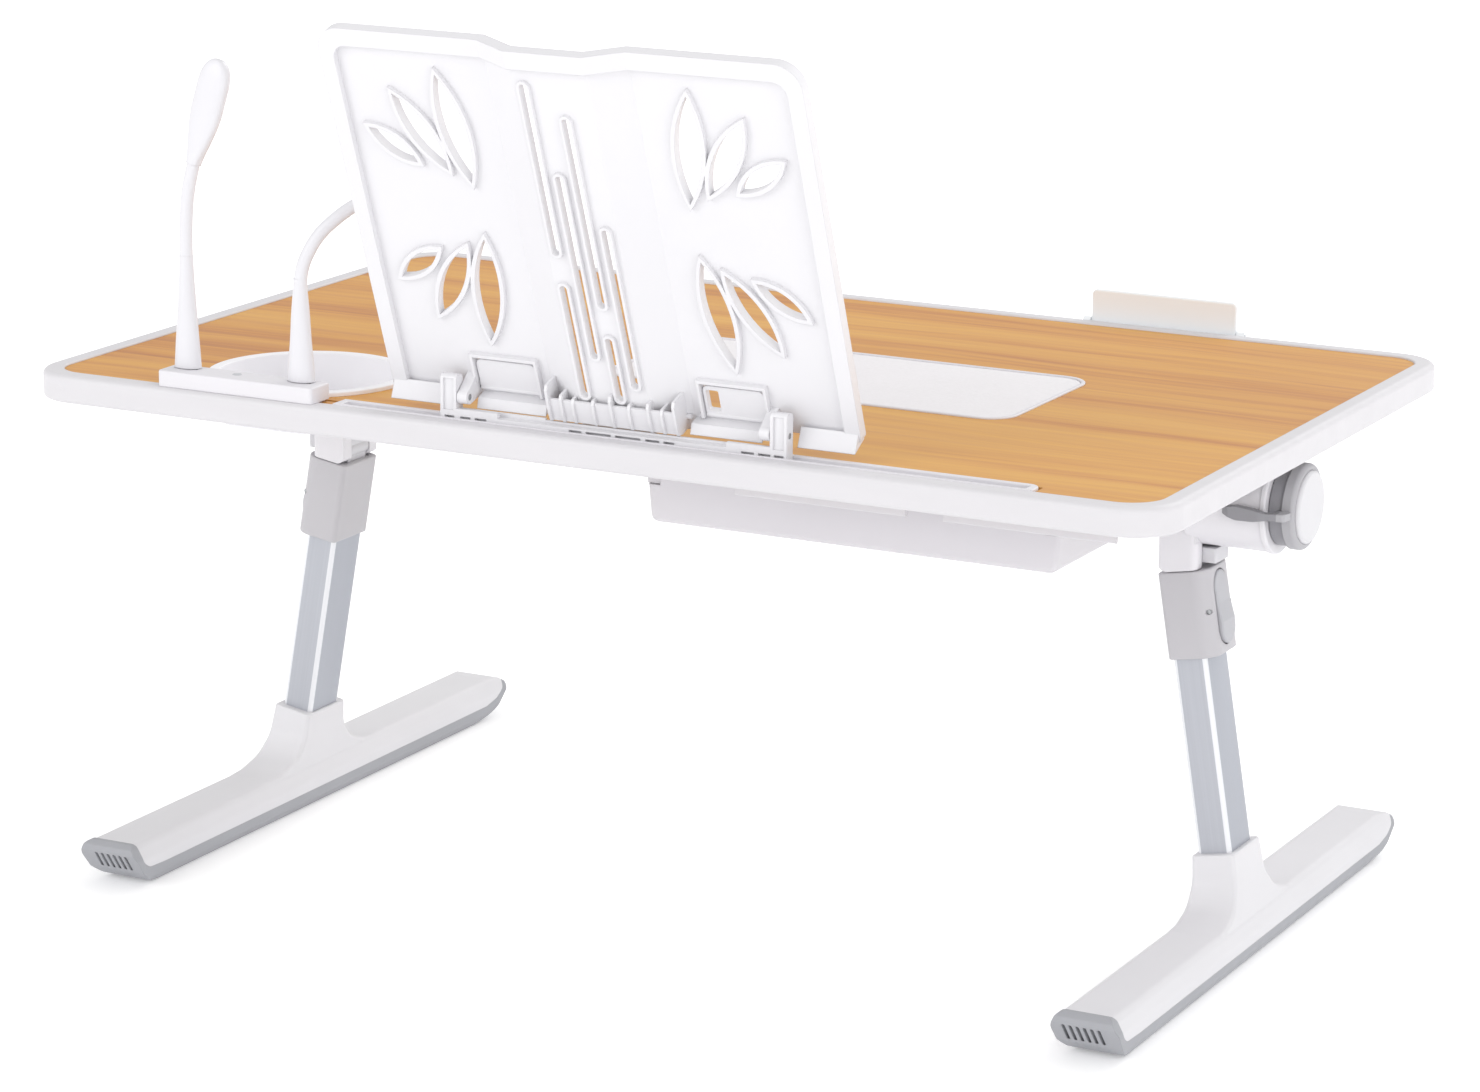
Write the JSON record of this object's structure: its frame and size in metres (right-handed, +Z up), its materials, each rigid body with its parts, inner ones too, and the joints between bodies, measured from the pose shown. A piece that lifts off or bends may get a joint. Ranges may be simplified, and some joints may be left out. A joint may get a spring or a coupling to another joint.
{
  "type": "folding laptop table",
  "caption": "Low folding laptop and reading table with splayed telescopic legs, tilting top, book stand, drawer, cup holder and plug-in lamps.",
  "frame": {"origin": "middle of the bounding box, on the floor under the feet", "axes": "+X along the table's long side, +Y towards the reader's edge, +Z up"},
  "size_m": [0.6, 0.4378, 0.4542],
  "materials": {
    "wood": "satin light oak laminate",
    "white_plastic": "satin white",
    "light_grey_plastic": "satin light grey",
    "grey_plastic": "satin mid grey",
    "pad_cover": "matt light grey leatherette",
    "leg_metal": "anodised, drawn along its length",
    "steel": "zinc plated",
    "circuit": "circuit board",
    "lens": "frosted lens"
  },
  "bodies": {
    "table": {"top_board": "wood", "edge_trim": "white_plastic", "inset_pad": "pad_cover", "pad_frame": "white_plastic", "cup_holder_insert": "white_plastic", "slot_strip": "white_plastic", "usb_hub_housing": "white_plastic", "usb_ports": "steel", "hub_circuit_board": "circuit", "hub_bottom_cover": "white_plastic", "stopper_lugs": "white_plastic", "drawer_rails": "white_plastic", "drawer_rail_screws": "steel", "hinge_base_left": "grey_plastic", "hinge_base_right": "grey_plastic", "hinge_screws": "steel", "clamp_bolt_left": "steel", "clamp_bolt_right": "steel"},
    "drawer": {"drawer_tray": "white_plastic"},
    "stopper": {"stopper_plate": "white_plastic"},
    "stand_foot": {"stand_base": "white_plastic", "stand_pivot_pins": "steel"},
    "stand": {"stand_panel": "white_plastic", "page_clip_pins": "steel", "stand_cross_rod": "steel"},
    "clip_left": {"page_clip_left": "light_grey_plastic"},
    "clip_right": {"page_clip_right": "light_grey_plastic"},
    "tilt_left": {"tilt_barrel_left": "light_grey_plastic", "fold_pin_left": "steel"},
    "lever_left": {"tilt_lever_left": "grey_plastic", "knob_cap_left": "white_plastic"},
    "post_left": {"fold_post_left": "light_grey_plastic"},
    "leg_left": {"collar_left": "light_grey_plastic", "button_pin_left": "steel", "leg_tube_left": "leg_metal", "foot_upper_left": "white_plastic", "foot_sole_left": "grey_plastic", "foot_screws_left": "steel"},
    "button_left": {"height_button_left": "light_grey_plastic"},
    "lamp_left": {"lamp_plug_left": "steel", "lamp_stem_left": "white_plastic", "lamp_head_left": "white_plastic", "lamp_diffuser_left": "lens"},
    "tilt_right": {"tilt_barrel_right": "light_grey_plastic", "fold_pin_right": "steel"},
    "lever_right": {"tilt_lever_right": "grey_plastic", "knob_cap_right": "white_plastic"},
    "post_right": {"fold_post_right": "light_grey_plastic"},
    "leg_right": {"collar_right": "light_grey_plastic", "button_pin_right": "steel", "leg_tube_right": "leg_metal", "foot_upper_right": "white_plastic", "foot_sole_right": "grey_plastic", "foot_screws_right": "steel"},
    "button_right": {"height_button_right": "light_grey_plastic"},
    "lamp_right": {"lamp_plug_right": "steel", "lamp_stem_right": "white_plastic", "lamp_head_right": "white_plastic", "lamp_diffuser_right": "lens"}
  },
  "joints": [
    {"name": "tilt_right", "type": "hinge", "parent": "table", "child": "tilt_right", "pos_m": [0.258, 0.02897, 0.225], "axis": [1, 0, 0], "range_deg": [0, 35]},
    {"name": "lever_turn_right", "type": "hinge", "parent": "tilt_right", "child": "lever_right", "pos_m": [0.285, 0.02897, 0.225], "axis": [1, 0, 0], "range_deg": [0, 60]},
    {"name": "fold_right", "type": "hinge", "parent": "tilt_right", "child": "post_right", "pos_m": [0.232, 0.02897, 0.1945], "axis": [0, -1, 0], "range_deg": [-98, 0]},
    {"name": "height_right", "type": "slide", "parent": "post_right", "child": "leg_right", "axis": [0.1676, 0, -0.9859], "range_m": [0, 0.075]},
    {"name": "button_press_right", "type": "hinge", "parent": "leg_right", "child": "button_right", "pos_m": [0.25277, 0.02897, 0.17122], "axis": [0, 1, 0], "range_deg": [0, 5], "stiffness_Nm_per_rad": 0.5},
    {"name": "tilt_left", "type": "hinge", "parent": "table", "child": "tilt_left", "pos_m": [-0.258, 0.02897, 0.225], "axis": [1, 0, 0], "range_deg": [0, 35]},
    {"name": "lever_turn_left", "type": "hinge", "parent": "tilt_left", "child": "lever_left", "pos_m": [-0.285, 0.02897, 0.225], "axis": [1, 0, 0], "range_deg": [0, 60]},
    {"name": "fold_left", "type": "hinge", "parent": "tilt_left", "child": "post_left", "pos_m": [-0.232, 0.02897, 0.1945], "axis": [0, 1, 0], "range_deg": [-98, 0]},
    {"name": "height_left", "type": "slide", "parent": "post_left", "child": "leg_left", "axis": [-0.1676, 0, -0.9859], "range_m": [0, 0.075]},
    {"name": "button_press_left", "type": "hinge", "parent": "leg_left", "child": "button_left", "pos_m": [-0.25277, 0.02897, 0.17122], "axis": [0, -1, 0], "range_deg": [0, 5], "stiffness_Nm_per_rad": 0.5},
    {"name": "drawer_slide", "type": "slide", "parent": "table", "child": "drawer", "axis": [0, 1, 0], "range_m": [0, 0.165]},
    {"name": "stopper_fold", "type": "hinge", "parent": "table", "child": "stopper", "pos_m": [0.145, 0.21647, 0.2626], "axis": [1, 0, 0], "range_deg": [-175, 0]},
    {"name": "stand_lift", "type": "slide", "parent": "table", "child": "stand_foot", "axis": [0, 0, 1], "range_m": [0, 0.02]},
    {"name": "stand_tilt", "type": "hinge", "parent": "stand_foot", "child": "stand", "pos_m": [0.021, -0.15083, 0.274], "axis": [1, 0, 0], "range_deg": [0, 20]},
    {"name": "page_clip_right", "type": "hinge", "parent": "stand", "child": "clip_right", "pos_m": [0.08075, -0.14063, 0.27786], "axis": [-1, 0, 0], "range_deg": [0, 85]},
    {"name": "lamp_pull_right", "type": "slide", "parent": "table", "child": "lamp_right", "axis": [0, 0, 1], "range_m": [0, 0.012]},
    {"name": "page_clip_left", "type": "hinge", "parent": "stand", "child": "clip_left", "pos_m": [-0.03875, -0.14063, 0.27786], "axis": [-1, 0, 0], "range_deg": [0, 85]},
    {"name": "lamp_pull_left", "type": "slide", "parent": "table", "child": "lamp_left", "axis": [0, 0, 1], "range_m": [0, 0.012]}
  ],
  "couplings": [
    {"joint": "tilt_left", "follows": "tilt_right", "ratio": 1}
  ]
}
